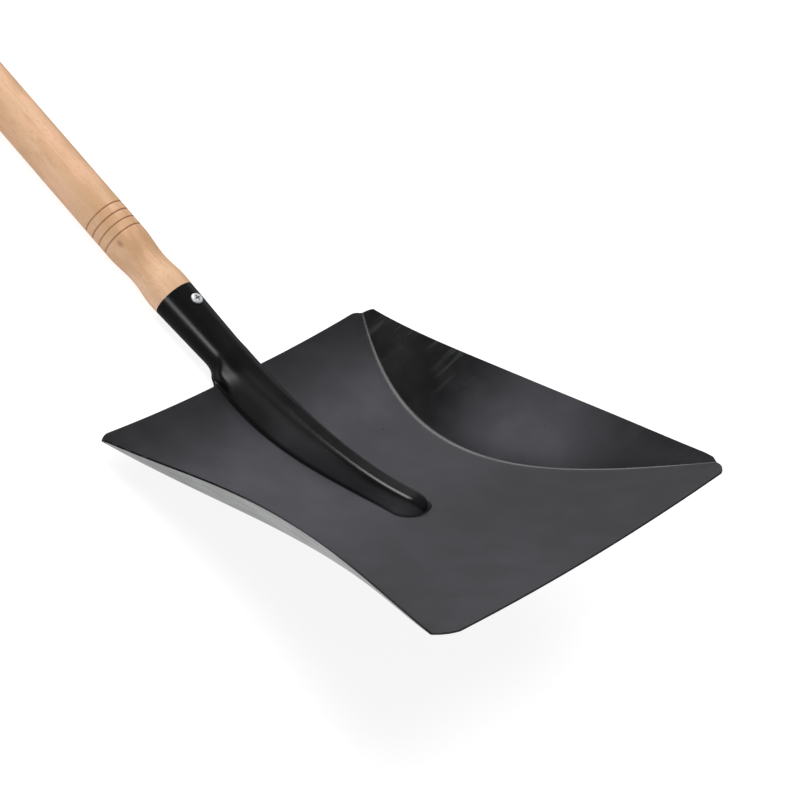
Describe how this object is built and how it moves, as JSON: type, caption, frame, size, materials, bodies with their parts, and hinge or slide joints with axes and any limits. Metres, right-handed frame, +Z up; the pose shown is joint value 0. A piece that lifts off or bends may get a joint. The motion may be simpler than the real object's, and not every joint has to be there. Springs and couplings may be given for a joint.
{
  "type": "snow shovel",
  "caption": "Pan shovel: black pressed-steel scoop with folded side walls, a raised rib and a rolled socket that holds a turned wooden shaft with grooves, fixed by a cross-recess screw.",
  "frame": {"origin": "centre of the bounding box, on the floor plane the shovel lies on", "axes": "+X along the shaft from its free end towards the blade, +Y to the left, +Z up with the shovel lying on its shaft and the blade's hollow side up"},
  "size_m": [1.531, 0.3614, 0.1763],
  "materials": {
    "black_coating": "satin black coating on pressed sheet steel",
    "wood": "pale lacquered hardwood",
    "zinc": "bright zinc-plated steel"
  },
  "bodies": {
    "root": {"blade": "black_coating", "shaft": "wood", "screw": "zinc"}
  },
  "joints": []
}
